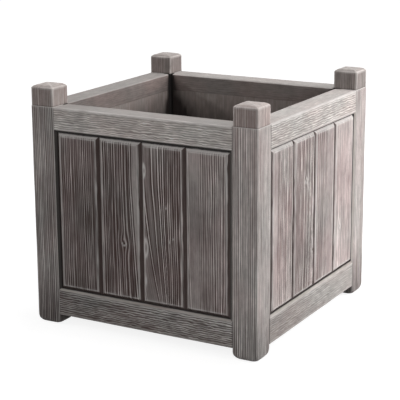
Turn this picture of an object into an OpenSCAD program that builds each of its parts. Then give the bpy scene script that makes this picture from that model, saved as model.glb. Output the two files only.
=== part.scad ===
// Square timber planter.
// Four posts with capped heads carry two rails on each side. Tongued and grooved boards with
// bevelled edges fill each side behind a mitred bead, a smooth lining covers the inside, and a
// slatted floor on two bearers leaves gaps for the water to drain.
// The front faces -Y, +Z is up, and the origin is on the ground under the middle.

/* [Overall] */
// Width over the outer faces of the posts, the same on all four sides
planter_w = 500; // [440:1:640]
// Height of the ground clearance under the bottom rails
foot_h = 21; // [12:1:60]

/* [Posts] */
// Side of the square post
post_w = 53; // [52:0.5:70]
// Radius of the worn edges round the bottom of each foot
foot_round = 9; // [3:0.5:14]
// Radius of the post's upright edges
post_edge_r = 2; // [1:0.5:4]
// Timber left between the two mortises that meet inside a post
mortise_web = 4; // [3:0.5:8]

/* [Caps] */
// How far each cap block stands back from the faces of its post
cap_inset = 0.5; // [0.5:0.5:4]
// Height of the cap's upright faces
cap_face_h = 35; // [20:1:70]
// Width of the sloping border round the cap's top
cap_bevel_w = 9; // [4:0.5:16]
// Height of that sloping border
cap_rise = 6; // [3:0.5:14]
// Radius of the cap's upright edges
cap_edge_r = 3; // [1:0.5:5]
// Diameter of the dowel that holds a cap on its post
dowel_d = 12; // [6:1:14]
// Length of that dowel, half of it in the post
dowel_l = 40; // [24:1:60]

/* [Rails] */
// Thickness of the walls, which is the width of every rail
rail_t = 50; // [46:0.5:52]
// Height of the top rails
top_rail_h = 44; // [34:1:70]
// Height of the bottom rails
bottom_rail_h = 52; // [48:1:80]
// Radius of the top rails' two upper edges
rail_edge_r = 4; // [1:0.5:8]
// Radius of the bottom rails' lower edges
rail_foot_r = 2; // [1:0.5:6]
// Thickness of the tenons
tenon_t = 14; // [8:0.5:16]
// Shoulder above and below a tenon
tenon_shoulder = 6; // [3:0.5:10]
// Width of the slit between the inner face of a wall and each post
corner_slit = 3; // [2:0.5:8]

/* [Panels] */
// Height of the opening between the rails
panel_h = 329; // [200:1:500]
// Width of the sloping bead round the opening
bead_w = 5.5; // [3:0.5:10]
// How far the bead's face falls back towards the boards
bead_fall = 3; // [1:0.5:5]
// How far the boards' faces lie behind the faces of the frame
board_recess = 0.5; // [0.5:0.5:3]
// Thickness of the boards
board_t = 17; // [15:0.5:19]
// Width of the bevel on all four edges of a board
board_bevel_w = 6; // [3:0.5:10]
// Depth of that bevel
board_bevel_d = 6; // [4:0.5:7]
// Thickness of the tongue along a board's edge
tongue_t = 5; // [4:0.5:6]
// Length of that tongue
tongue_l = 5; // [3:0.5:7]
// How far the boards' ends run into the rails
board_end_l = 7.5; // [5:0.5:9]

/* [Lining] */
// Thickness of the lining panels
lining_t = 12; // [9:0.5:14]
// How far a lining panel laps over each rail
lining_lap = 8; // [6:0.5:12]

/* [Floor] */
// Height of the floor bearers above the ground
bearer_z = 23; // [14:1:28]
// Width of the floor bearers
bearer_w = 28; // [22:1:45]
// Height of the floor bearers
bearer_h = 28; // [20:1:36]
// Thickness of the floor slats
slat_t = 18; // [12:1:24]
// Drainage gap between two slats
drain_gap = 8; // [5:1:16]
// Clearance between the floor and the walls round it
floor_clear = 2; // [1:0.5:5]

/* [Fixings] */
// Diameter of the screws' shanks
screw_d = 4.5; // [3.5:0.5:6]
// Diameter of the countersunk heads
screw_head_d = 9; // [7:0.5:11]
// Height of the countersunk heads
screw_head_h = 3; // [2:0.5:4]
// How far a floor screw bites into its bearer
floor_screw_bite = 17; // [10:1:18]
// How far a bearer screw bites into its rail
bearer_screw_bite = 18; // [10:1:26]
// Distance from the middle of a slat to each of its screws
screw_offset = 20; // [10:1:25]

/* [Clearances] */
// Clearance between pieces that slide together
joint_gap = 0.3; // [0.2:0.05:0.5]
// Clearance all round a screw or a dowel
bore_gap = 0.1; // [0.05:0.05:0.2]

/* [Hidden] */
$fn = 48;
boards_per_side = 4;
slat_count = 5;
bevel_steps = 6;
bevel_power = 1.35;
over = 1;

bottom_rail_z = foot_h;
panel_z0 = bottom_rail_z + bottom_rail_h;
panel_z1 = panel_z0 + panel_h;
post_h = panel_z1 + top_rail_h;

cap_w = post_w - 2 * cap_inset;
cap_h = cap_face_h + cap_rise;

// Clear width between two posts, and the part of it inside the bead
open_w = planter_w - 2 * post_w;
field_w = open_w - 2 * bead_w;
board_pitch = field_w / boards_per_side;

// Depths behind the outer face of a wall
ledge_u = board_recess + board_bevel_d;
bead_back_u = ledge_u - joint_gap;
board_back_u = board_recess + board_t;
tongue_u = (ledge_u + board_back_u) / 2;
lining_u = rail_t - lining_t;
tenon_u = (board_back_u + lining_u) / 2;
tenon_l = post_w - tenon_u - tenon_t / 2 - mortise_web;

// Heights between which the boards stand
board_z0 = panel_z0 - board_end_l;
board_z1 = panel_z1 + board_end_l;

// Floor
slat_z = bearer_z + bearer_h;
floor_w = planter_w - 2 * rail_t - 2 * floor_clear;
slat_w = (floor_w - (slat_count - 1) * drain_gap) / slat_count;
slat_pitch = slat_w + drain_gap;
post_keepout = planter_w / 2 - post_w - floor_clear;
bearer_screw_z = bearer_z + bearer_h / 2;

// The four sides in turn: each is the front side turned about the middle
FRONT = 0;
RIGHT = 1;
BACK = 2;
LEFT = 3;

// Turns a piece of the front side, whose outer face is at y = 0, to its place on a side
module on_side(side) {
    rotate([0, 0, 90 * side]) translate([0, -planter_w / 2, 0]) children();
}

// Turns a piece of the front left corner, which starts at x = 0 and y = 0, to its corner
module on_corner(side) {
    rotate([0, 0, 90 * side]) translate([-planter_w / 2, -planter_w / 2, 0]) children();
}

// Extrudes a section drawn as depth and height along the wall, centred on x = 0
module along_wall(length) {
    translate([-length / 2, 0, 0]) rotate([90, 0, 90]) linear_extrude(length) children();
}

// Rectangle with all four corners rounded
module eased_rect(w, h, r) {
    translate([r, 0]) square([w - 2 * r, h]);
    translate([0, r]) square([w, h - 2 * r]);
    for (x = [r, w - r], y = [r, h - r]) {
        translate([x, y]) circle(r);
    }
}

// Outline of a post seen from one side, with its two lower corners worn round
module foot_outline() {
    translate([0, foot_round]) square([post_w, post_h - foot_round]);
    translate([foot_round, 0]) square([post_w - 2 * foot_round, post_h]);
    for (x = [foot_round, post_w - foot_round]) {
        translate([x, foot_round]) circle(foot_round);
    }
}

// Room for a tenon in the face of the post that looks along +X
module mortise(rail_z, rail_h) {
    translate([post_w - tenon_l - joint_gap, tenon_u - tenon_t / 2 - joint_gap,
               rail_z + tenon_shoulder - joint_gap])
        cube([tenon_l + joint_gap + over, tenon_t + 2 * joint_gap,
              rail_h - 2 * tenon_shoulder + 2 * joint_gap]);
}

// Joints that the front side cuts in the front left post
module post_joints() {
    mortise(panel_z1, top_rail_h);
    mortise(bottom_rail_z, bottom_rail_h);
    translate([post_w - tongue_l - joint_gap, tongue_u - tongue_t / 2 - joint_gap,
               board_z0 - joint_gap])
        cube([tongue_l + joint_gap + over, tongue_t + 2 * joint_gap,
              board_z1 - board_z0 + 2 * joint_gap]);
}

module post() {
    color("dimgray") difference() {
        intersection() {
            linear_extrude(post_h) eased_rect(post_w, post_w, post_edge_r);
            translate([0, post_w, 0]) rotate([90, 0, 0]) linear_extrude(post_w) foot_outline();
            rotate([90, 0, 90]) linear_extrude(post_w) foot_outline();
        }
        post_joints();
        mirror([1, -1, 0]) post_joints();
        translate([post_w / 2, post_w / 2, post_h - dowel_l / 2 - over])
            cylinder(h = dowel_l / 2 + 2 * over, d = dowel_d + 2 * bore_gap);
    }
}

// Points of the cap's sloping border, eased where it meets the upright face and the flat top
function bevel_points(turn) = [
    for (i = [0 : bevel_steps]) let (
        a = 90 * (turn > 0 ? i : bevel_steps - i) / bevel_steps,
        x = cap_bevel_w * (1 - pow(cos(a), bevel_power)),
        z = cap_face_h + cap_rise * pow(sin(a), bevel_power)
    ) [turn > 0 ? x : cap_w - x, z]
];

module cap_outline() {
    polygon(concat([[0, 0]], bevel_points(1), bevel_points(-1), [[cap_w, 0]]));
}

module cap() {
    color("gray") translate([cap_inset, cap_inset, post_h]) difference() {
        intersection() {
            linear_extrude(cap_h) eased_rect(cap_w, cap_w, cap_edge_r);
            translate([0, cap_w, 0]) rotate([90, 0, 0]) linear_extrude(cap_w) cap_outline();
            rotate([90, 0, 90]) linear_extrude(cap_w) cap_outline();
        }
        translate([cap_w / 2, cap_w / 2, -over])
            cylinder(h = dowel_l / 2 + 2 * over, d = dowel_d + 2 * bore_gap);
    }
}

module cap_dowels() {
    color("burlywood") for (side = [FRONT : LEFT]) {
        on_corner(side) translate([post_w / 2, post_w / 2, post_h - dowel_l / 2])
            cylinder(h = dowel_l, d = dowel_d);
    }
}

// Section of a rail as depth and height. The panel lies above a bottom rail and below a top
// rail: its boards stand in the groove and its lining laps into the rebate.
module rail_section(h, panel_above) {
    groove_depth = board_end_l + joint_gap;
    difference() {
        if (panel_above) {
            eased_rect(rail_t, h, rail_foot_r);
            translate([0, h / 2]) square([rail_t, h / 2]);
        } else {
            eased_rect(rail_t, h, rail_edge_r);
            square([rail_t, h / 2]);
        }
        translate([bead_back_u, panel_above ? h - groove_depth : -over])
            square([board_back_u - bead_back_u + joint_gap, groove_depth + over]);
        translate([lining_u - joint_gap, panel_above ? h - lining_lap : -over])
            square([lining_t + joint_gap + over, lining_lap + over]);
    }
}

// A rail between its posts, with a tenon at each end and the slits at its inner corners. The
// two that carry a floor bearer are bored for its screws.
module rail(h, z, panel_above, carries_bearer) {
    color("darkgray") translate([0, 0, z]) {
        difference() {
            along_wall(open_w) rail_section(h, panel_above);
            for (end = [-1, 1]) {
                translate([end * (open_w / 2 + over / 2) - corner_slit - over / 2, lining_u, -over])
                    cube([2 * corner_slit + over, lining_t + over, h + 2 * over]);
            }
            if (carries_bearer) {
                translate([0, 0, -z]) bearer_screw_row(bore_gap);
            }
        }
        for (end = [-1, 1]) {
            translate([end * (open_w + tenon_l) / 2 - tenon_l / 2, tenon_u - tenon_t / 2,
                       tenon_shoulder])
                cube([tenon_l, tenon_t, h - 2 * tenon_shoulder]);
        }
    }
}

module top_rail() {
    rail(top_rail_h, panel_z1, false, false);
}

module bottom_rail(carries_bearer) {
    rail(bottom_rail_h, bottom_rail_z, true, carries_bearer);
}

// Plan of a board as x and depth, with its bevelled face, its tongue and its groove. The first
// and the last board run under the bead to the post and have a tongue on that edge too.
module board_plan(index) {
    first = index == 0;
    last = index == boards_per_side - 1;
    x0 = -field_w / 2 + index * board_pitch + joint_gap / 2;
    x1 = x0 + board_pitch - joint_gap;
    back_x0 = first ? -open_w / 2 + joint_gap : x0;
    back_x1 = last ? open_w / 2 - joint_gap : x1;
    difference() {
        union() {
            polygon([
                [x0 + board_bevel_w, board_recess], [x1 - board_bevel_w, board_recess],
                [x1, ledge_u], [x0, ledge_u]
            ]);
            translate([back_x0, ledge_u]) square([back_x1 - back_x0, board_back_u - ledge_u]);
            translate([back_x1 - over, tongue_u - tongue_t / 2])
                square([tongue_l + over, tongue_t]);
            if (first) {
                translate([back_x0 - tongue_l, tongue_u - tongue_t / 2])
                    square([tongue_l + over, tongue_t]);
            }
        }
        if (!first) {
            translate([x0 - over, tongue_u - tongue_t / 2 - joint_gap])
                square([tongue_l + over, tongue_t + 2 * joint_gap]);
        }
    }
}

// Section of a board as depth and height, with its bevels and the ends that enter the rails
module board_section() {
    z0 = panel_z0 + bead_w + joint_gap / 2;
    z1 = panel_z1 - bead_w - joint_gap / 2;
    polygon([
        [board_recess, z0 + board_bevel_w], [ledge_u, z0], [ledge_u, board_z0],
        [board_back_u, board_z0], [board_back_u, board_z1], [ledge_u, board_z1],
        [ledge_u, z1], [board_recess, z1 - board_bevel_w]
    ]);
}

module board(index) {
    color(index % 2 == 0 ? "rosybrown" : "slategray") intersection() {
        translate([0, 0, board_z0]) linear_extrude(board_z1 - board_z0) board_plan(index);
        along_wall(open_w + 2 * tongue_l) board_section();
    }
}

// One strip of the bead, centred on x = 0, with its mitred ends and its outer edge at z = 0
module bead_strip(length) {
    mitre = joint_gap / 2;
    intersection() {
        along_wall(length) polygon([
            [0, 0], [bead_fall, bead_w], [bead_back_u, bead_w], [bead_back_u, 0]
        ]);
        translate([0, bead_back_u, 0]) rotate([90, 0, 0]) linear_extrude(bead_back_u) polygon([
            [-length / 2 + mitre, 0], [length / 2 - mitre, 0],
            [length / 2 - mitre - bead_w, bead_w], [-length / 2 + mitre + bead_w, bead_w]
        ]);
    }
}

module bead() {
    middle_z = (panel_z0 + panel_z1) / 2;
    color("silver") {
        translate([0, 0, panel_z0]) bead_strip(open_w);
        translate([0, 0, panel_z1]) rotate([0, 180, 0]) bead_strip(open_w);
        translate([open_w / 2, 0, middle_z]) rotate([0, -90, 0]) bead_strip(panel_h);
        translate([-open_w / 2, 0, middle_z]) rotate([0, 90, 0]) bead_strip(panel_h);
    }
}

module lining() {
    length = open_w - 2 * corner_slit;
    color("gray") translate([-length / 2, lining_u, panel_z0 - lining_lap])
        cube([length, lining_t, panel_h + 2 * lining_lap - joint_gap]);
}

// Places a child over each screw of the slat at this index, at both its ends
module at_slat_screws(index) {
    middle_x = (index - (slat_count - 1) / 2) * slat_pitch;
    middle_y = planter_w / 2 - rail_t - bearer_w / 2;
    for (dx = [-screw_offset, screw_offset], y = [-middle_y, middle_y]) {
        translate([middle_x + dx, y, slat_z + slat_t]) children();
    }
}

// A countersunk screw with the top of its head at z = 0, pointing down
module screw(length, gap) {
    translate([0, 0, -screw_head_h])
        cylinder(h = screw_head_h, d1 = screw_d + 2 * gap, d2 = screw_head_d + 2 * gap);
    translate([0, 0, -length - gap])
        cylinder(h = length - screw_head_h + 2 * gap, d = screw_d + 2 * gap);
}

// Screws of one bearer, drawn for the front side. They stand under the drainage gaps, clear of
// the screws that come down through the slats.
module bearer_screw_row(gap) {
    for (index = [0 : slat_count - 2]) {
        translate([(index - (slat_count - 2) / 2) * slat_pitch, rail_t + bearer_w, bearer_screw_z])
            rotate([-90, 0, 0]) screw(bearer_w + bearer_screw_bite, gap);
    }
}

module bearer(side) {
    length = open_w - 2 * floor_clear;
    color("darkkhaki") difference() {
        on_side(side) translate([-length / 2, rail_t, bearer_z])
            cube([length, bearer_w, bearer_h]);
        on_side(side) bearer_screw_row(bore_gap);
        for (index = [0 : slat_count - 1]) {
            at_slat_screws(index) screw(slat_t + floor_screw_bite, bore_gap);
        }
    }
}

// A slat from front to back. The outer ones are notched round the posts.
module floor_slat(index) {
    x0 = -floor_w / 2 + index * slat_pitch;
    color("tan") difference() {
        translate([x0, -floor_w / 2, slat_z]) cube([slat_w, floor_w, slat_t]);
        for (sx = [-1, 1], sy = [-1, 1]) {
            translate([sx > 0 ? post_keepout : -planter_w / 2,
                       sy > 0 ? post_keepout : -planter_w / 2, slat_z - over])
                cube([planter_w / 2 - post_keepout, planter_w / 2 - post_keepout,
                      slat_t + 2 * over]);
        }
        at_slat_screws(index) screw(slat_t + floor_screw_bite, bore_gap);
    }
}

module floor_screws() {
    color("lightsteelblue") for (index = [0 : slat_count - 1]) {
        at_slat_screws(index) screw(slat_t + floor_screw_bite, 0);
    }
}

module bearer_screws() {
    color("lightsteelblue") for (side = [FRONT, BACK]) {
        on_side(side) bearer_screw_row(0);
    }
}

on_corner(FRONT) post();  // post_front_left
on_corner(RIGHT) post();  // post_front_right
on_corner(BACK) post();  // post_back_right
on_corner(LEFT) post();  // post_back_left
on_corner(FRONT) cap();  // cap_front_left
on_corner(RIGHT) cap();  // cap_front_right
on_corner(BACK) cap();  // cap_back_right
on_corner(LEFT) cap();  // cap_back_left
cap_dowels();
on_side(FRONT) top_rail();  // top_rail_front
on_side(RIGHT) top_rail();  // top_rail_right
on_side(BACK) top_rail();  // top_rail_back
on_side(LEFT) top_rail();  // top_rail_left
on_side(FRONT) bottom_rail(true);  // bottom_rail_front
on_side(RIGHT) bottom_rail(false);  // bottom_rail_right
on_side(BACK) bottom_rail(true);  // bottom_rail_back
on_side(LEFT) bottom_rail(false);  // bottom_rail_left
on_side(FRONT) board(0);  // board_front_1
on_side(FRONT) board(1);  // board_front_2
on_side(FRONT) board(2);  // board_front_3
on_side(FRONT) board(3);  // board_front_4
on_side(RIGHT) board(0);  // board_right_1
on_side(RIGHT) board(1);  // board_right_2
on_side(RIGHT) board(2);  // board_right_3
on_side(RIGHT) board(3);  // board_right_4
on_side(BACK) board(0);  // board_back_1
on_side(BACK) board(1);  // board_back_2
on_side(BACK) board(2);  // board_back_3
on_side(BACK) board(3);  // board_back_4
on_side(LEFT) board(0);  // board_left_1
on_side(LEFT) board(1);  // board_left_2
on_side(LEFT) board(2);  // board_left_3
on_side(LEFT) board(3);  // board_left_4
on_side(FRONT) bead();  // bead_front
on_side(RIGHT) bead();  // bead_right
on_side(BACK) bead();  // bead_back
on_side(LEFT) bead();  // bead_left
on_side(FRONT) lining();  // lining_front
on_side(RIGHT) lining();  // lining_right
on_side(BACK) lining();  // lining_back
on_side(LEFT) lining();  // lining_left
bearer(FRONT);  // bearer_front
bearer(BACK);  // bearer_back
floor_slat(0);  // floor_slat_1
floor_slat(1);  // floor_slat_2
floor_slat(2);  // floor_slat_3
floor_slat(3);  // floor_slat_4
floor_slat(4);  // floor_slat_5
floor_screws();
bearer_screws();
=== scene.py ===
import math

import bpy
import numpy as np
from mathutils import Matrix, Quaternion, Vector


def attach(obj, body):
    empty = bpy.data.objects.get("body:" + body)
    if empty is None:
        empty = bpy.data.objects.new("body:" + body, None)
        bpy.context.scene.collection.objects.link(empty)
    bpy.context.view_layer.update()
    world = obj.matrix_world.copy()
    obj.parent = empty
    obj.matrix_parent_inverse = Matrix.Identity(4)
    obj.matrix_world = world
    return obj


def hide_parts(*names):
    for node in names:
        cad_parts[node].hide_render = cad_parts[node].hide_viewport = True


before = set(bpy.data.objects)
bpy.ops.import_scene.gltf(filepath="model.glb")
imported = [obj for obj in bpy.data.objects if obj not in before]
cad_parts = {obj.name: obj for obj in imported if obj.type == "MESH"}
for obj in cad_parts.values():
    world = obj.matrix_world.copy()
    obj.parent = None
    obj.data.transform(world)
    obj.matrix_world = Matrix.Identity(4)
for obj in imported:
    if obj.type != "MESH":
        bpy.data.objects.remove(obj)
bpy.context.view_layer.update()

# The photograph's view: a long lens, 14 degrees above the horizon, turned so that the front is
# the left one of the two sides it shows. A small shift keeps the uprights more upright.
VIEW_AZIMUTH = math.radians(29.34)
VIEW_ELEVATION = math.radians(13.95)
VIEW_ROLL = math.radians(-0.31)
VIEW_DISTANCE = 2.735
VIEW_HEIGHT = 0.2692
VIEW_LENS = 119.4
towards_lens = Vector(
    (
        math.sin(VIEW_AZIMUTH) * math.cos(VIEW_ELEVATION),
        -math.cos(VIEW_AZIMUTH) * math.cos(VIEW_ELEVATION),
        math.sin(VIEW_ELEVATION),
    )
)
camera = bpy.data.objects.new("camera", bpy.data.cameras.new("camera"))
bpy.context.scene.collection.objects.link(camera)
camera.data.sensor_width = 36.0
camera.data.lens = VIEW_LENS
camera.data.shift_x = -0.0123
camera.data.shift_y = -0.05
camera.rotation_mode = "QUATERNION"
camera.location = Vector((0, 0, VIEW_HEIGHT)) + towards_lens * VIEW_DISTANCE
aim = (-towards_lens).to_track_quat("-Z", "Y")
camera.rotation_quaternion = aim @ Quaternion((0, 0, 1), VIEW_ROLL)
bpy.context.scene.camera = camera


# Corner posts: 53 mm square softwood, planed, brushed along the grain with wire so that the
# soft wood between the rings is worn away, and stained grey. The feet are worn round, and a
# cap stands on each top. The posts carry all four rails in mortises.
MM = 0.001
PLANTER_W = 500.0
POST_W = 53.0
POST_H = 446.0
POST_EDGE_R = 2.0
INNER_EDGE_R = 9.0
FOOT_R = 9.0
SEAM_R = 0.9
# How much rounder the upright edges are at the ground, and how far up this goes
FOOT_WEAR_R = 10.0
FOOT_WEAR_Z = 15.0
# Over which height the rounding and the painted shade of the post's inner corner begin
INNER_Z = (60.0, 75.0)
# Distance between the rings, and how deep the brush went into the softest wood
POST_PITCH = 4.1
POST_RELIEF = 0.75
# Share of hard wood that the brush left at full height
UNWORN = 0.95
# The darkest that wash and painted shade get anywhere
DARKEST = 0.98
POST_CORNERS = ["front_left", "front_right", "back_right", "back_left"]
POST_STAIN = [0.9, 1.24, 1.2, 0.97]
# How much paler each post's front face is painted, as painted light
POST_FRONT_PAINTED_LIGHT = [0.0, 0.1, 0.0, 0.0]
# How strongly the rings of each post stand out
POST_RINGS = [1.3, 1.0, 1.0, 1.1]
# Patches where the stain is lighter or darker: distance round the post, height, half width, half
# height, and by what share. The dark one at the foot of the back right post's front face is
# painted shade under the bottom rail.
POST_PATCHES = [
    [
        (4, 330, 12, 60, 0.6), (24, 350, 22, 40, 0.12), (6, 130, 13, 60, 0.2),
        (30, 230, 18, 60, -0.12),
    ],
    [(180, 230, 40, 55, -0.08), (180, 60, 40, 50, 0.1)],
    [(128, 4, 34, 18, -0.6)],
    [],
]
# How much darker the feet are painted, as painted shade near the ground, how strongly dirt
# fills their soft rings, and the heights between which each comes on
FOOT_PAINTED_SHADE, FOOT_PAINTED_SHADE_Z = 0.12, (115.0, 25.0)
FOOT_DIRT, FOOT_DIRT_Z = 0.6, (125.0, 15.0)
# Share of hard wood about which a post's and a rail's contrast is stretched
MIDDLE_GRAIN = 0.4
# Faces that meet at more than this angle keep a sharp edge between them
SHARP_FROM = math.radians(40.0)


def soft_noise(seed, a, b):
    """Random heights from -1 to 1 on a unit lattice, eased between by 3t^2 - 2t^3."""
    lattice = np.random.default_rng(seed).uniform(-1, 1, (64, 64))
    a, b = np.broadcast_arrays(np.asarray(a, float), np.asarray(b, float))
    i, j = np.floor(a).astype(int), np.floor(b).astype(int)
    s, t = a - i, b - j
    s, t = s * s * (3 - 2 * s), t * t * (3 - 2 * t)
    i, j, i1, j1 = i % 64, j % 64, (i + 1) % 64, (j + 1) % 64
    low = lattice[i, j] * (1 - s) + lattice[i1, j] * s
    high = lattice[i, j1] * (1 - s) + lattice[i1, j1] * s
    return low * (1 - t) + high * t


def mottle(seed, across, along):
    """Soft noise over a piece's own surface: a function of a layer's number, and of how many
    mm across and along the grain the layer's spots measure."""
    return lambda layer, width, length: soft_noise(seed + layer, across / width, along / length)


def ease(x, start, end):
    """0 before start and 1 after end, eased by 3t^2 - 2t^3 between them."""
    t = np.clip((x - start) / (end - start), 0, 1)
    return t * t * (3 - 2 * t)


def bell(x, width):
    """1 at 0 and 0.37 at the width: the exponential of minus the square of x / width."""
    return np.exp(-((x / width) ** 2))


def patched(stain, across, along, patches):
    """The stain's tone with its patches, each a bell across times a bell along."""
    for at, up, half_w, half_h, share in patches:
        stain = stain * (1 + share * bell(across - at, half_w) * bell(along - up, half_h))
    return stain


def brushed_rings(
    seed, rings, along, pitch, sway=1.6, sway_length=75.0, sway_width=34.0, sharpness=3.0,
    dash=70.0, uneven=0.6,
):
    """Share of hard wood, 0 to 1, in brushed timber: a raised cosine of the ring number to the
    power sharpness, so that the hard rings are narrow. Rings sway by sway mm over sway_length
    along the grain and sway_width across it, lie unevenly spaced, each has its own strength,
    which changes over dash mm, and finer fibres lie between them."""
    rings = rings + sway * soft_noise(seed, rings / sway_width, along / sway_length)
    finer = soft_noise(seed + 1, 3 * rings / sway_width, 3 * along / sway_length)
    rings = rings + 0.3 * sway * finer
    drift = soft_noise(seed + 2, rings / (2.1 * pitch), along / 600)
    number = rings / pitch + 0.8 * uneven * drift
    line = (0.5 + 0.5 * np.cos(2 * np.pi * number)) ** sharpness
    chance = np.random.default_rng(seed + 3).uniform(0, 1, 64)
    own = 1 - uneven * chance[np.round(number).astype(int) % 64]
    strength = own * (0.75 + 0.4 * soft_noise(seed + 3, rings / (1.3 * pitch), along / dash))
    fibre = soft_noise(seed + 4, rings / 1.5, along / (0.8 * dash))
    return np.clip(0.12 + 1.15 * line * strength + 0.13 * fibre, 0, 1)


def square_profile(half, radius, step):
    """Points, outward normals, distance round, and distance from the nearest edge, of a square
    with quarter-circle corners, counter-clockwise from the middle of its front."""
    flat = 2 * (half - radius)
    n = max(int(flat / step), 4)
    line = (np.arange(n) + 0.5) / n * flat - flat / 2
    turn = (np.arange(5) + 0.5) / 5 * np.pi / 2
    side_p = np.stack([line, np.full(n, -half)], 1)
    side_n = np.stack([np.zeros(n), np.full(n, -1.0)], 1)
    bend_n = np.stack([np.sin(turn), -np.cos(turn)], 1)
    bend_p = bend_n * radius + [half - radius, -(half - radius)]
    p, nrm = np.concatenate([side_p, bend_p]), np.concatenate([side_n, bend_n])
    away = np.concatenate([half - radius * 0.3 - np.abs(line), np.zeros(5)])
    quarter = np.array([[0, -1], [1, 0]])
    points, normals = [p], [nrm]
    for _ in range(3):
        points.append(points[-1] @ quarter.T)
        normals.append(normals[-1] @ quarter.T)
    points, normals = np.concatenate(points), np.concatenate(normals)
    around = np.concatenate([[0], np.cumsum(np.linalg.norm(np.diff(points, axis=0), axis=1))])
    return points, normals, around, np.tile(np.clip(away, 0, None), 4)


def turned(points, quarter_turns):
    """The same points turned about the planter's middle by so many quarter turns."""
    x, y, z = points[..., 0], points[..., 1], points[..., 2]
    for _ in range(quarter_turns):
        x, y = -y, x
    return np.stack([x, y, z], -1)


def skin(name, sheets, values):
    """A mesh from closed skins. Each sheet is a grid of points in mm, rows along the piece and
    columns round it, joined round and closed at both ends by flat faces. values holds, for each
    sheet, the numbers that its points carry for the material."""
    points, faces, start = [], [], 0
    for sheet in sheets:
        rows, columns = sheet.shape[:2]
        index = np.arange(rows * columns).reshape(rows, columns) + start
        after = np.roll(index, -1, axis=1)
        quads = np.stack([index[:-1], after[:-1], after[1:], index[1:]], -1).reshape(-1, 4)
        faces += quads.tolist()
        faces += [index[0][::-1].tolist(), index[-1].tolist()]
        points.append(sheet.reshape(-1, 3) * MM)
        start += rows * columns
    mesh = bpy.data.meshes.new(name)
    mesh.from_pydata(np.concatenate(points).tolist(), [], faces)
    for key in values[0]:
        kind, field, size = "FLOAT", "value", ()
        if key == "lie":
            kind, field, size = "FLOAT_VECTOR", "vector", (3,)
        parts = [
            np.broadcast_to(carried[key], sheet.shape[:2] + size).ravel()
            for carried, sheet in zip(values, sheets)
        ]
        made = mesh.attributes.new(key, kind, "POINT")
        made.data.foreach_set(field, np.concatenate(parts))
    mesh.update()
    mesh.shade_smooth()
    mesh.set_sharp_from_angle(angle=SHARP_FROM)
    return mesh


def fit(node, finish, sheets, values, material):
    """Makes a finished piece from its skins and puts it on the planter in place of its solid."""
    mesh = skin(node, sheets, values)
    mesh.materials.append(material)
    piece = bpy.data.objects.new(f"{node}_{finish}", mesh)
    bpy.context.scene.collection.objects.link(piece)
    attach(piece, "root")
    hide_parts(node)


def lie(seed, across, along):
    """Place on the timber in metres, across and along its grain, moved on for each piece so
    that no two are cut from the same length."""
    across, along = np.broadcast_arrays(across, along)
    return np.stack([across * MM + seed * 0.371, along * MM + seed * 0.593, across * 0.0], -1)


def linear(hex_colour):
    """A colour written as sRGB hex, as the linear values that the shader takes."""
    rgb = [int(hex_colour[i : i + 2], 16) / 255 for i in (1, 3, 5)]
    return [c / 12.92 if c <= 0.04045 else ((c + 0.055) / 1.055) ** 2.4 for c in rgb] + [1.0]


def new_material(name):
    """A material with an empty node tree, and that tree."""
    material = bpy.data.materials.new(name)
    material.use_nodes = True
    material.node_tree.nodes.clear()
    return material, material.node_tree


def add(tree, kind, settings=None, links=None):
    """Adds a node. settings holds its properties and its inputs' values, links its inputs'
    sources, where a node stands for its first output."""
    node = tree.nodes.new(kind)
    for key, value in (settings or {}).items():
        if isinstance(key, str) and hasattr(node, key):
            setattr(node, key, value)
        else:
            node.inputs[key].default_value = value
    for key, source in (links or {}).items():
        output = source.outputs[0] if isinstance(source, bpy.types.Node) else source
        tree.links.new(output, node.inputs[key])
    return node


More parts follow.
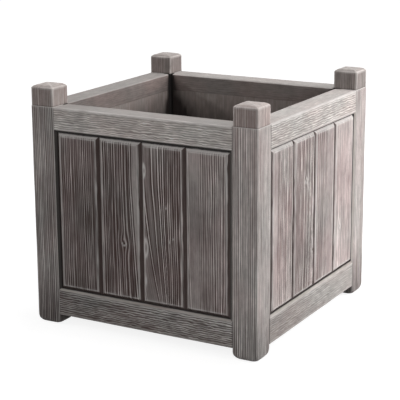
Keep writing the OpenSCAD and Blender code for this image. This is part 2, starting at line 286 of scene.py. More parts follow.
def stained_timber(name, warm, cool, worn, wash_and_painted_shade, contrast, relief, roughness=0.78):
    """Softwood under a thin grey stain. The eye sees cool and warm patches a hand wide, pale
    hard rings and dark soft ones, fine fibres, pale worn edges and painted highlight on the
    boards' upper bevels, and dark wash and painted shade in the corners and recesses. contrast is
    how much paler the hard rings are, relief the height of the fibres in mm."""
    material, tree = new_material(name)
    carried = [
        add(tree, "ShaderNodeAttribute", {"attribute_name": key})
        for key in ("lie", "grain", "wear_and_painted_light", "wash_and_painted_shade", "tone")
    ]
    place = carried[0].outputs["Vector"]
    grain, wear_and_painted_light, wash_and_shade, tone = (node.outputs["Fac"] for node in carried[1:])

    # Patches of the two stains, about 65 mm across the grain and 125 mm along it; fibres 1.1 mm
    # wide and 30 mm long, drawn three times as coarse as real ones so that they show; and
    # blotches 9 mm wide and 22 mm long, where the stain was wiped unevenly
    layers = []
    for scale, detail, rough in (
        ((15, 8, 1), 1.5, 0.4), ((900, 33, 1), 2.0, 0.5), ((110, 45, 1), 4.0, 0.6)
    ):
        stretched = add(tree, "ShaderNodeMapping", {"Scale": scale}, {"Vector": place})
        settings = {"Scale": 1.0, "Detail": detail, "Roughness": rough}
        layers.append(add(tree, "ShaderNodeTexNoise", settings, {"Vector": stretched}))
    patches, fibres, blotches = layers
    settings = {"From Min": 0.36, "From Max": 0.64}
    cool_share = add(tree, "ShaderNodeMapRange", settings, {"Value": patches})
    settings = {"data_type": "RGBA", 6: linear(warm), 7: linear(cool)}
    stain = add(tree, "ShaderNodeMix", settings, {0: cool_share}).outputs[2]

    # One factor on the stain: the piece's own tone x fibre x blotch
    gain = tone
    for layer, swing in ((fibres, 0.16), (blotches, 0.18)):
        settings = {"From Min": 0.25, "From Max": 0.75, "To Min": 1 - swing, "To Max": 1 + swing}
        factor = add(tree, "ShaderNodeMapRange", settings, {"Value": layer})
        gain = add(tree, "ShaderNodeMath", {"operation": "MULTIPLY"}, {0: gain, 1: factor})

    # Soft wood took the stain deeply and is browner; hard rings took a quarter of it, are greyer
    # and show the bare wood under it
    soft_tint = [(1 - contrast) * (1 - brown * contrast) for brown in (0, 0.26, 0.3)]
    pairs = zip(linear(warm)[:3], linear(cool)[:3])
    bare = [0.75 * (1 + 2.2 * contrast) * (a + 2 * b) / 3 for a, b in pairs]
    settings = {"operation": "MULTIPLY", 1: soft_tint}
    soft_wood = add(tree, "ShaderNodeVectorMath", settings, {0: stain})
    settings = {"operation": "SCALE", 3: 0.25 + 0.55 * contrast}
    thin_stain = add(tree, "ShaderNodeVectorMath", settings, {0: stain})
    hard_wood = add(tree, "ShaderNodeVectorMath", {"operation": "ADD", 1: bare}, {0: thin_stain})
    links = {0: grain, 6: soft_wood, 7: hard_wood}
    ringed = add(tree, "ShaderNodeMix", {"data_type": "RGBA"}, links).outputs[2]
    colour = add(tree, "ShaderNodeVectorMath", {"operation": "SCALE"}, {0: ringed, 3: gain})
    # The pale tint paints wear and painted highlight, the dark tint wash and painted shade
    for share, tint in ((wear_and_painted_light, worn), (wash_and_shade, wash_and_painted_shade)):
        settings = {"data_type": "RGBA", 7: linear(tint)}
        colour = add(tree, "ShaderNodeMix", settings, {0: share, 6: colour}).outputs[2]

    links = {0: fibres, 2: blotches}
    height = add(tree, "ShaderNodeMath", {"operation": "MULTIPLY_ADD", 1: 0.6}, links)
    settings = {"Strength": 1.0, "Distance": relief * MM}
    bump = add(tree, "ShaderNodeBump", settings, {"Height": height})
    settings = {"To Min": roughness + 0.1, "To Max": roughness - 0.1}
    dullness = add(tree, "ShaderNodeMapRange", settings, {"Value": grain})
    shader = add(
        tree, "ShaderNodeBsdfPrincipled", {"IOR": 1.47, "Specular IOR Level": 0.35},
        {"Base Color": colour, "Roughness": dullness, "Normal": bump},
    )
    add(tree, "ShaderNodeOutputMaterial", None, {"Surface": shader})
    return material


# The posts' near black wash colour serves mostly as painted shade in their inner corners
post_timber = stained_timber(
    "brushed grey stained softwood, posts", "#AEA3A1", "#A5A5A2", "#DCD6D3", "#120E0D", 0.5, 0.25
)

post_profile, post_normals, post_around, post_away = square_profile(POST_W / 2, POST_EDGE_R, 0.85)
foot_turn = np.linspace(0, np.pi / 2, 9)
post_rows = np.concatenate(
    [
        FOOT_R - FOOT_R * np.cos(foot_turn),
        np.linspace(FOOT_R, POST_H - 2, 104)[1:],
        POST_H - SEAM_R * np.array([1, 0.45, 0.12, 0]),
    ]
)
foot_inset = FOOT_R - FOOT_R * np.sqrt(1 - (1 - np.clip(post_rows / FOOT_R, 0, 1)) ** 2)
seam_inset = SEAM_R * (1 - np.sqrt(1 - np.clip((post_rows - POST_H + SEAM_R) / SEAM_R, 0, 1) ** 2))
post_inset = (foot_inset + seam_inset)[:, None]
for corner, place in enumerate(POST_CORNERS):
    seed = 10 + corner
    around, z = np.meshgrid(post_around, post_rows)
    noise = mottle(seed, around, z)
    grain = brushed_rings(seed, around, z, POST_PITCH, sway=1.0, sway_length=110.0, uneven=0.5)
    grain = np.clip(MIDDLE_GRAIN + POST_RINGS[corner] * (grain - MIDDLE_GRAIN), 0, 1)
    relief = POST_RELIEF * (grain - UNWORN) + 0.2 * noise(7, 26, 60)
    size = 1 - post_inset / (POST_W / 2)
    # Towards the foot the upright edges are worn round as well, and inside the planter the edge
    # between the walls is rounded off, so that the joint there reads as one dark slit
    inner_z = ease(z, *INNER_Z)
    worn_r = POST_EDGE_R + FOOT_WEAR_R * (1 - ease(z, 0, FOOT_WEAR_Z))
    worn_r = worn_r + (INNER_EDGE_R - POST_EDGE_R) * ((post_profile > 0).all(1) * inner_z)
    beyond = np.abs(post_profile) - (POST_W / 2 - worn_r)[..., None]
    reach = np.hypot(beyond[..., 0], beyond[..., 1])
    past = (beyond > 0).all(-1) & (reach > worn_r)
    cut = np.where(past, worn_r / np.maximum(reach, 0.01), 1.0)[..., None]
    rounded = np.sign(post_profile) * (POST_W / 2 - worn_r[..., None] + beyond * cut)
    xy = rounded * size[..., None] + post_normals * relief[..., None]
    xy = np.clip(xy, -POST_W / 2, POST_W / 2) + POST_W / 2 - PLANTER_W / 2
    sheet = turned(np.dstack([xy, z]), corner)
    rubbed = 0.55 + 0.45 * noise(8, 14, 22)
    edge, seam, foot = bell(post_away, 2.1), bell(POST_H - z, 1.5), 0.25 * bell(z - 5, 5)
    clouds = 0.11 * noise(9, 60, 110) + 0.12 * noise(15, 21, 42)
    front = np.clip(-turned(np.pad(post_normals, ((0, 0), (0, 1))), corner)[:, 1], 0, 1)
    stain = POST_STAIN[corner] * (1 + clouds) * (1 + POST_FRONT_PAINTED_LIGHT[corner] * front)
    # Painted shade darkens the feet
    stain = stain * (1 - FOOT_PAINTED_SHADE * ease(z, *FOOT_PAINTED_SHADE_Z))
    dirt = FOOT_DIRT * ease(z, *FOOT_DIRT_Z) * (1 - grain) ** 1.6
    # The corner that faces the middle of the planter is painted near black, as painted shade in the
    # corner slit
    painted_corner_shade = ease(post_profile.sum(1), POST_W - 20, POST_W - 15) * inner_z
    values = {
        "lie": lie(seed, around, z),
        "grain": grain,
        "wear_and_painted_light": np.clip((0.75 * edge + foot) * rubbed + 0.95 * seam, 0, 0.95) * (1 - painted_corner_shade),
        "wash_and_painted_shade": np.maximum(dirt, DARKEST * painted_corner_shade),
        "tone": patched(stain, around, z, POST_PATCHES[corner]),
    }
    fit(f"post_{place}", "brushed", [sheet], [values], post_timber)


# Caps: a square block of the same timber on each post, dowelled on above a fine seam. A
# rounded border slopes up to its nearly flat top, which is end grain, rubbed smooth and paler.
CAP_W = 52.0
CAP_FACE_H = 35.0
# Width and height of the sloping border, and the power of its curve
CAP_BEVEL_W = 9.0
CAP_RISE = 6.0
CAP_CURVE = 1.35
CAP_EDGE_R = 3.0
CAP_FOOT_R = 0.8
# Distance between the rings, and how deep the brush went
CAP_PITCH = 4.2
CAP_RELIEF = 0.36
# Tone of each cap, and how much paler its right face is painted, as painted light from the right
CAP_STAIN = [(0.92, 0.0), (0.97, 0.24), (0.74, 0.0), (0.72, -0.08)]

cap_timber = stained_timber(
    "brushed grey stained softwood, caps", "#AFA19D", "#A8A39F", "#E2DBD7", "#3A322F", 0.3, 0.2
)
cap_profile, cap_normals, cap_around, cap_away = square_profile(CAP_W / 2, CAP_EDGE_R, 0.95)
cap_face_rows = np.concatenate(
    [CAP_FOOT_R * np.array([0, 0.3, 1.0]), np.linspace(3.5, CAP_FACE_H - 0.4, 12)]
)
foot_curve = np.sqrt(1 - (1 - np.clip(cap_face_rows / CAP_FOOT_R, 0, 1)) ** 2)
border_turn = np.linspace(0, np.pi / 2, 12)
cap_border_inset = CAP_BEVEL_W * (1 - np.cos(border_turn) ** CAP_CURVE)
cap_border_z = CAP_FACE_H + CAP_RISE * np.sin(border_turn) ** CAP_CURVE
cap_top_inset = np.linspace(CAP_BEVEL_W + 1.2, CAP_W / 2 - 0.4, 18)
cap_z = np.concatenate([cap_face_rows, cap_border_z, np.full(18, CAP_FACE_H + CAP_RISE)])
cap_inset = np.concatenate([CAP_FOOT_R * (1 - foot_curve), cap_border_inset, cap_top_inset])
for corner, place in enumerate(POST_CORNERS):
    seed = 20 + corner
    around, z = np.meshgrid(cap_around, cap_z)
    noise = mottle(seed, around, z)
    inset = cap_inset[:, None]
    size = 1 - inset / (CAP_W / 2)
    on_top = ease(inset, 0.5, CAP_BEVEL_W)
    local = cap_profile * size[..., None]
    x, y = local[..., 0], local[..., 1]
    grain = brushed_rings(seed, around, z, CAP_PITCH, sway=1.2, uneven=0.75)
    top_grain = 0.5 + 0.35 * soft_noise(seed + 5, x / 3.5 + 40, y / 9 + 40)
    grain = grain * (1 - on_top) + top_grain * on_top
    relief = CAP_RELIEF * (grain - UNWORN) * (1 - 0.6 * on_top)
    uneven = 0.22 * soft_noise(seed + 6, x / 15 + 9, y / 15 + 9) - 0.22
    xy = local + cap_normals * (relief * (1 - on_top))[..., None] + POST_W / 2 - PLANTER_W / 2
    sheet = turned(np.dstack([xy, z + (relief + uneven) * on_top + POST_H]), corner)
    rubbed = 0.6 + 0.4 * noise(8, 12, 15)
    upright = bell(cap_away, 2.4) * (1 - on_top)
    rim = bell(inset - 1.2, 1.6) * (z > CAP_FACE_H - 3)
    hip = 0.6 * bell(cap_away * size, 2.0) * on_top
    worn = np.maximum(np.maximum(upright, rim), hip)
    stain, painted_light_right = CAP_STAIN[corner]
    right = np.clip(turned(np.pad(cap_normals, ((0, 0), (0, 1))), corner)[:, 0], 0, 1)
    values = {
        "lie": lie(seed, around * size + 30 * on_top, z - inset),
        "grain": grain,
        "wear_and_painted_light": np.clip(0.85 * worn * rubbed + 0.3 * on_top, 0, 0.9),
        "wash_and_painted_shade": 0.35 * ease(z, 1.6, 0.2),
        "tone": stain * (1 + painted_light_right * right * (1 - on_top)) * (1 + 0.06 * noise(9, 60, 60)),
    }
    fit(f"cap_{place}", "worn", [sheet], [values], cap_timber)


# Rails: 50 mm deep, the top ones 44 mm and the bottom ones 52 mm high, with their grain along
# them. It waves more than the posts' does. They are tenoned into the posts, with a fine joint
# line, grooved for the boards' ends, and rebated inside for the lining.
RAIL_T = 50.0
TOP_RAIL_H = 44.0
TOP_RAIL_Z = 402.0
BOTTOM_RAIL_H = 52.0
BOTTOM_RAIL_Z = 21.0
OPEN_W = 394.0
RAIL_EDGE_R = 4.0
RAIL_FOOT_R = 2.0
CORNER_SLIT = 3.0
LINING_U = 38.0
GROOVE_U = (6.2, 17.8)
GROOVE_DEPTH = 7.8
LINING_LAP = 8.0
JOINT = 0.15
# Distance between the rings, and how deep the brush went on the face, the top and the inside
RAIL_PITCH = 4.4
RAIL_RELIEF = (0.75, 0.2, 0.08)
SIDES = ["front", "right", "back", "left"]

rail_timber = stained_timber(
    "brushed grey stained softwood, rails", "#ADA39F", "#A5A5A2", "#DCD6D3", "#1C1614", 0.5, 0.25
)


def carried_profile(corners, step):
    """Points, outward normals, distance round and distance from the nearest edge of a closed
    outline. corners holds depth, height and radius of each corner in turn; a radius of 0 is a
    sharp corner, and the straight runs are divided into lengths near step."""
    corners = np.asarray(corners, float)
    points, normals, away = [], [], []
    count = len(corners)
    for k in range(count):
        here, before, after = corners[k, :2], corners[k - 1, :2], corners[(k + 1) % count, :2]
        r, r_after = corners[k, 2], corners[(k + 1) % count, 2]
        arrive = (here - before) / np.linalg.norm(here - before)
        leave = (after - here) / np.linalg.norm(after - here)
        n_in, n_out = np.array([arrive[1], -arrive[0]]), np.array([leave[1], -leave[0]])
        if r > 0:
            turn = (np.arange(6) + 0.5)[:, None] / 6
            bend = n_in * np.cos(turn * np.pi / 2) + n_out * np.sin(turn * np.pi / 2)
            points.append(here - (n_in + n_out) * r + bend * r)
            normals.append(bend)
            away.append(np.zeros(6))
        else:
            points.append(here[None])
            normals.append(((n_in + n_out) / np.linalg.norm(n_in + n_out))[None])
            away.append(np.zeros(1))
        length = np.linalg.norm(after - here) - r - r_after
        n = max(int(length / step), 1)
        run = (np.arange(n) + 0.5) / n * length
        points.append(here + leave * (r + run)[:, None])
        normals.append(np.repeat(n_out[None], n, 0))
        away.append(np.minimum(run, length - run))
    points = np.concatenate(points)
    around = np.concatenate([[0], np.cumsum(np.linalg.norm(np.diff(points, axis=0), axis=1))])
    return points, np.concatenate(normals), around, np.concatenate(away)


# Tone of each rail's face and of its top, the contrast of its rings, and how much paler its face
# grows from left to right. Tones and paling carry painted light as well: the top rails' faces are
# painted paler than the bottom rails' for light from above, and faces and tops are paler where the
# lamps fall strongest.
RAIL_LOOKS = {
    "top_rail": [
        (1.5, 0.68, 0.85, 0.0), (1.17, 1.12, 0.72, 0.0), (1.0, 0.95, 0.7, 0.0),
        (1.0, 0.61, 0.7, 0.0),
    ],
    "bottom_rail": [
        (0.78, 0.9, 1.55, 0.25), (0.9, 1.0, 0.5, 0.13), (0.95, 0.9, 0.7, 0.0),
        (0.95, 0.9, 0.7, 0.0),
    ],
}
# Tone of each wall's inner face, and how much more of it the top rail's takes
LINING_TONES = [0.72, 0.72, 0.76, 0.75]
RAIL_INNER_GAIN = 1.62
# How dark the painted shade inside the planter makes the rails' inner faces, and the walls over
# which depth below the rim
RAIL_INNER_PAINTED_SHADE = 0.14
INTERIOR_PAINTED_SHADE = 0.88
INTERIOR_SHADE_DEPTH = (30.0, 140.0)
# How dark the painted shade on the walls beside the corner slits is, how far it reaches along
# each wall, and the depth below the rim at which it has its full reach
SLIT_PAINTED_SHADE = 0.97
SLIT_REACH = [16.0, 16.0, 44.0, 17.0]
SLIT_DEPTH = 75.0
# How far a rail's ends draw in, so that a fine line shows where it meets the posts
JOINT_LINE = 0.7
# Outer face downwards, underside inwards, inner face upwards, top outwards
top_rail_outline = [
    (0, TOP_RAIL_H, RAIL_EDGE_R), (0, 0, 0.8), (GROOVE_U[0], 0, 0), (GROOVE_U[0], GROOVE_DEPTH, 0),
    (GROOVE_U[1], GROOVE_DEPTH, 0), (GROOVE_U[1], 0, 0), (LINING_U - 0.3, 0, 0),
    (LINING_U - 0.3, LINING_LAP, 0), (RAIL_T, LINING_LAP, 0), (RAIL_T, TOP_RAIL_H, RAIL_EDGE_R),
]
lap_z, groove_z = BOTTOM_RAIL_H - LINING_LAP, BOTTOM_RAIL_H - GROOVE_DEPTH
bottom_rail_outline = [
    (0, BOTTOM_RAIL_H, 0.8), (0, 0, RAIL_FOOT_R), (RAIL_T, 0, RAIL_FOOT_R), (RAIL_T, lap_z, 0),
    (LINING_U - 0.3, lap_z, 0), (LINING_U - 0.3, BOTTOM_RAIL_H, 0), (GROOVE_U[1], BOTTOM_RAIL_H, 0),
    (GROOVE_U[1], groove_z, 0), (GROOVE_U[0], groove_z, 0), (GROOVE_U[0], BOTTOM_RAIL_H, 0),
]
rail_end = OPEN_W / 2 - JOINT
slit_x = OPEN_W / 2 - CORNER_SLIT
slit_rows = [slit_x - 0.5, slit_x, slit_x, slit_x + 1, rail_end - 0.6, rail_end - 0.25, rail_end]
rail_half_rows = np.concatenate([np.linspace(0, slit_x - 2, 65), slit_rows])
rail_rows = np.concatenate([-rail_half_rows[::-1], rail_half_rows[1:]])
past_slit = np.abs(rail_rows[:, None]) > slit_x + 0.5


def corner_shade(x, z, side):
    """Painted shade beside the corner slits: a bell of the distance from the slit, whose
    width grows with the depth below the rim to the power 1.5."""
    reach = SLIT_REACH[side] * (0.1 + 0.9 * np.clip((POST_H - z) / SLIT_DEPTH, 0, 1) ** 1.5)
    return SLIT_PAINTED_SHADE * bell(slit_x - np.minimum(np.abs(x), slit_x), reach)


def rail_skin(seed, outline, z0, side, look):
    """The outline carried along the rail. Points move along their normals by the brushed relief,
    ends draw in at the joint line, and past the slit no point is deeper than the lining's back."""
    face_tone, top_tone, contrast, slope = look
    profile, normals, around, away = carried_profile(outline, 0.75)
    s, x = np.meshgrid(around, rail_rows)
    noise = mottle(seed, s, x)
    grain = brushed_rings(
        seed, s, x, RAIL_PITCH, sway=1.2, sway_length=10.0, sway_width=6.0, sharpness=1.7,
        dash=12.0, uneven=0.4,
    )
    grain = MIDDLE_GRAIN + contrast * (grain - MIDDLE_GRAIN)
    deep, up, facing_up = profile[:, 0], profile[:, 1], normals[:, 1]
    inner = deep > RAIL_T - 2
    if z0 == TOP_RAIL_Z:
        on_top = (facing_up > 0.5) & (up > 10)
        free = (facing_up > 0.3) & (up > TOP_RAIL_H - 5)
        at_panel = np.abs(up) < 9
    else:
        on_top = np.zeros(len(up), bool)
        free = (facing_up < -0.3) & (up < 5)
        at_panel = np.abs(up - BOTTOM_RAIL_H) < 9
    shown = (deep < 0.5) | (deep > RAIL_T - 0.5) | free
    on_face, above, inside = RAIL_RELIEF
    depth = np.where(inner, inside, np.where(on_top, above, on_face)) * shown * ease(away, 0, 1.2)
    relief = depth * (grain - UNWORN) + 0.18 * shown * (noise(7, 22, 55) - 1)
    draw_in = -JOINT_LINE * ease(np.abs(x), rail_end - JOINT_LINE, rail_end)
    moved = profile + normals * (relief + draw_in)[..., None]
    u = np.where(past_slit, np.minimum(moved[..., 0], LINING_U), moved[..., 0])
    z = moved[..., 1] + z0
    sheet = turned(np.dstack([x, u - PLANTER_W / 2, z]), side)
    edge = bell(away, 1.8) * (deep < 5)
    rubbed = 0.6 + 0.4 * noise(8, 9, 26)
    # Wash fills the joint lines, and wash with painted shade the crevices round the panel
    crevice = (deep > 1.2) & (deep < LINING_U - 1) & at_panel
    clouds = 1 + 0.09 * noise(9, 50, 80) + 0.08 * noise(15, 17, 36)
    joined = 0.5 * ease(np.abs(x), rail_end - 1.0, rail_end)
    # Painted shade darkens the inner faces with depth below the rim and beside the corner slits
    painted_shade = RAIL_INNER_PAINTED_SHADE + INTERIOR_PAINTED_SHADE * ease(POST_H - z, *INTERIOR_SHADE_DEPTH) + corner_shade(x, z, side)
    painted_shade = np.where(inner & ~on_top, np.clip(painted_shade, 0, DARKEST), 0.0)
    calm = np.where(on_top, 0.45 + 0.4 * (grain - 0.45), 0.06 + 0.1 * (grain - 0.45))
    inner_tone = RAIL_INNER_GAIN * LINING_TONES[side]
    # The face grows paler towards the right as painted light
    tone = np.where(inner, inner_tone, face_tone * (1 + slope * x / rail_end))
    values = {
        "lie": lie(seed, s, x),
        "grain": np.where(on_top | inner, calm, grain),
        "wear_and_painted_light": np.clip(0.7 * edge * rubbed + 0.2 * on_top, 0, 0.85),
        "wash_and_painted_shade": np.maximum(np.maximum(0.8 * crevice, joined), painted_shade),
        "tone": np.where(on_top, top_tone, tone) * clouds,
    }
    return sheet, values


for side, place in enumerate(SIDES):
    for name, outline, z0, seed in (
        ("top_rail", top_rail_outline, TOP_RAIL_Z, 30 + side),
        ("bottom_rail", bottom_rail_outline, BOTTOM_RAIL_Z, 40 + side),
    ):
        sheet, values = rail_skin(seed, outline, z0, side, RAIL_LOOKS[name][side])
        fit(f"{name}_{place}", "brushed", [sheet], [values], rail_timber)


# Boards: four to a side, 17 mm thick, tongued and grooved, with a 6 mm bevel on all four edges
# of the face, so that each joint is a V. Their ends stand in the rails' grooves. Wire brushing
# has left the hard rings proud, and each board shows its own figure and knots.
BOARD_T = 17.0
RECESS = 0.5
BEVEL = 6.0
LEDGE_U = RECESS + BEVEL
BOARD_BACK_U = RECESS + BOARD_T
TONGUE_U = (LEDGE_U + BOARD_BACK_U) / 2
TONGUE_T = 5.0
TONGUE_L = 5.0
BEAD_W = 5.5
PANEL_Z = (73.0, 402.0)
FIELD_Z = (PANEL_Z[0] + BEAD_W + JOINT, PANEL_Z[1] - BEAD_W - JOINT)
BOARD_Z = (PANEL_Z[0] - 7.5, PANEL_Z[1] + 7.5)
BOARD_PITCH = (OPEN_W - 2 * BEAD_W) / 4
GROOVE_PLAY = 0.3
# Distance between the rings, how deep the brush went, and the share of hard wood about which
# the contrast is stretched
BOARD_RINGS = 4.7
BOARD_RELIEF = 0.85
BOARD_GRAIN = 0.33

# Each board's figure, in mm from the board's foot and left edge: its tone, how much dark wash
# and painted shade its soft wood holds, and the contrast of its rings; the lean of the rings, as
# a ring's place across the board and how far it moves from the foot to the head; single strong
# rings, as place and strength; plain strips, from, to and share of hard wood; knots, as across,
# up and radius; and pale rubbed marks, as across, up, half width, half height, and 1 if only the
# rim is rubbed.
FIGURES = {
    "front": [
        (0.83, 0.84, 0.98, [(0, 2), (95, -3)], [(31, 0.5), (61, 0.5)], [], [], []),
        (
            0.87, 0.84, 1.4, [(0, 0), (45, -3), (66, -9), (76, -16), (95, -16)],
            [(45, 0.6), (56, 0.6), (64, 0.9), (76, 1.0)], [(79, 92, 0.5)], [(56, 116, 3.0)], [],
        ),
        (
            1.24, 0.84, 1.3, [(-20, -36), (13, -40), (31, -22), (43, -17), (60, -6), (95, -2)],
            [(13, 0.9), (31, 1.0), (43, 0.9), (52, 0.5)],
            [(-12, 9, 0.3), (17, 28, 0.3), (34, 40, 0.3)], [],
            [
                (7, 264, 3.4, 10, 1), (6, 215, 2.6, 16, 0), (9, 112, 4.4, 15, 1),
                (9, 46, 2.8, 14, 0), (43, 190, 1.8, 2.6, 0), (55, 197, 2.2, 3.4, 0),
                (62, 131, 1.8, 4.0, 0), (70, 138, 2.0, 3.0, 0),
            ],
        ),
        (1.23, 0.5, 0.82, [(0, -4), (95, 2)], [(62, 0.4), (79, 0.6)], [(12, 30, 0.36)], [], []),
    ],
    "right": [
        (1.36, 0.14, 1.5, [(0, 0), (95, 4)], [(50, 0.6), (66, 0.7)], [(10, 24, 0.3)], [], []),
        (
            1.24, 0.28, 1.5, [(0, -4), (50, 6), (95, 14)],
            [(45, 0.6), (60, 0.9), (70, 1.0), (84, 0.9)], [], [(57, 227, 3.2), (88, 80, 2.6)],
            [(57, 231, 2.6, 5, 0), (88.6, 200, 1.2, 26, 0)],
        ),
        (
            1.17, 0.12, 0.9, [(0, 8), (95, 0)], [(14, 0.7), (25, 0.6)], [(60, 80, 0.3)], [],
            [(6.8, 236, 2.2, 84, 0), (6.8, 90, 1.2, 44, 0)],
        ),
        (1.46, 0.04, 0.75, [(0, 2), (95, -5)], [(20, 0.5), (72, 0.6)], [], [(30, 96, 2.6)], []),
    ],
    "back": [
        (0.9, 0.3, 0.9, [(0, 12), (95, 2)], [(22, 0.8), (60, 0.7)], [], [(66, 190, 3.2)], []),
        (0.97, 0.24, 0.8, [(0, -3), (95, 4)], [(40, 0.6), (71, 0.6)], [(50, 66, 0.3)], [], []),
        (
            0.9, 0.34, 1.0, [(0, 0), (50, 9), (75, 24), (95, 24)],
            [(38, 0.8), (60, 0.9), (74, 1.0)], [(78, 96, 0.45)],
            [(28, 262, 2.6), (44, 88, 3.0)], [(89, 200, 3.2, 10, 1)],
        ),
        (1.0, 0.28, 0.8, [(0, 2), (95, -2)], [(24, 0.6), (80, 0.7)], [], [], []),
    ],
    "left": [
        (0.92, 0.35, 0.9, [(0, 0), (95, -6)], [(33, 0.6), (58, 0.6)], [], [], []),
        (
            0.96, 0.25, 0.9, [(0, 16), (40, 10), (95, 0)], [(17, 0.9), (30, 0.8)],
            [(0, 14, 0.3)], [(28, 142, 3.2)], [],
        ),
        (0.9, 0.34, 1.0, [(0, -2), (95, 5)], [(48, 0.7), (77, 0.7)], [], [(70, 250, 2.4)], []),
        (
            1.02, 0.24, 0.8, [(0, -8), (60, -3), (95, 0)], [(12, 0.7), (52, 0.6)],
            [(60, 74, 0.3)], [], [],
        ),
    ],
}
# Patches where the stain is lighter or darker: across, up, half width, half height, and by what
# share. They are set for the boards that show most.
PATCHES = {
    "front": [
        [
            (24, 250, 34, 50, 0.32), (68, 140, 26, 75, -0.26),
            (22, 90, 20, 60, -0.1), (20, 20, 24, 26, 0.14),
        ],
        [
            (24, 170, 26, 55, -0.16), (60, 50, 30, 50, -0.12),
            (86, 260, 12, 60, 0.12), (30, 290, 40, 20, 0.1),
        ],
        [
            (12, 40, 18, 50, -0.26), (34, 130, 16, 60, -0.12),
            (74, 230, 20, 50, 0.06), (70, 40, 24, 40, 0.1),
        ],
        [
            (30, 170, 26, 46, -0.1), (84, 150, 12, 90, 0.16),
            (40, 60, 30, 30, -0.12), (30, 280, 40, 24, 0.08),
        ],
    ],
    "right": [
        [(40, 270, 30, 26, -0.06), (30, 200, 20, 30, 0.08), (50, 90, 26, 50, -0.06)],
        [(60, 100, 26, 60, -0.1), (30, 220, 20, 40, 0.06)],
        [(40, 110, 26, 40, -0.08), (30, 210, 20, 50, 0.06)],
        [(60, 190, 30, 40, -0.08), (40, 260, 30, 30, 0.06)],
    ],
}
# Depth below the face from which wash and painted shade cover the left and upper bevels of each
# side
CLEAN_BEVEL = {"front": 1.6, "right": 1.2, "back": 1.8, "left": 1.6}
# How pale the upper bevel of each side is painted, as painted light from above
UPPER_BEVEL_PAINTED_LIGHT = {"front": 0.8, "right": 0.6, "back": 0.8, "left": 0.8}

board_timber = stained_timber(
    "brushed grey stained softwood, boards", "#AC9B9A", "#A5A3A0", "#EAE5E2", "#3B2924", 0.62, 0.3
)


def soft_max(depths, softness):
    """The deepest of several surfaces, with the edges where they meet rounded: the logarithm
    of the summed exponentials of depth / softness."""
    top = np.max(depths, axis=0)
    return top + softness * np.log(sum(np.exp((d - top) / softness) for d in depths))


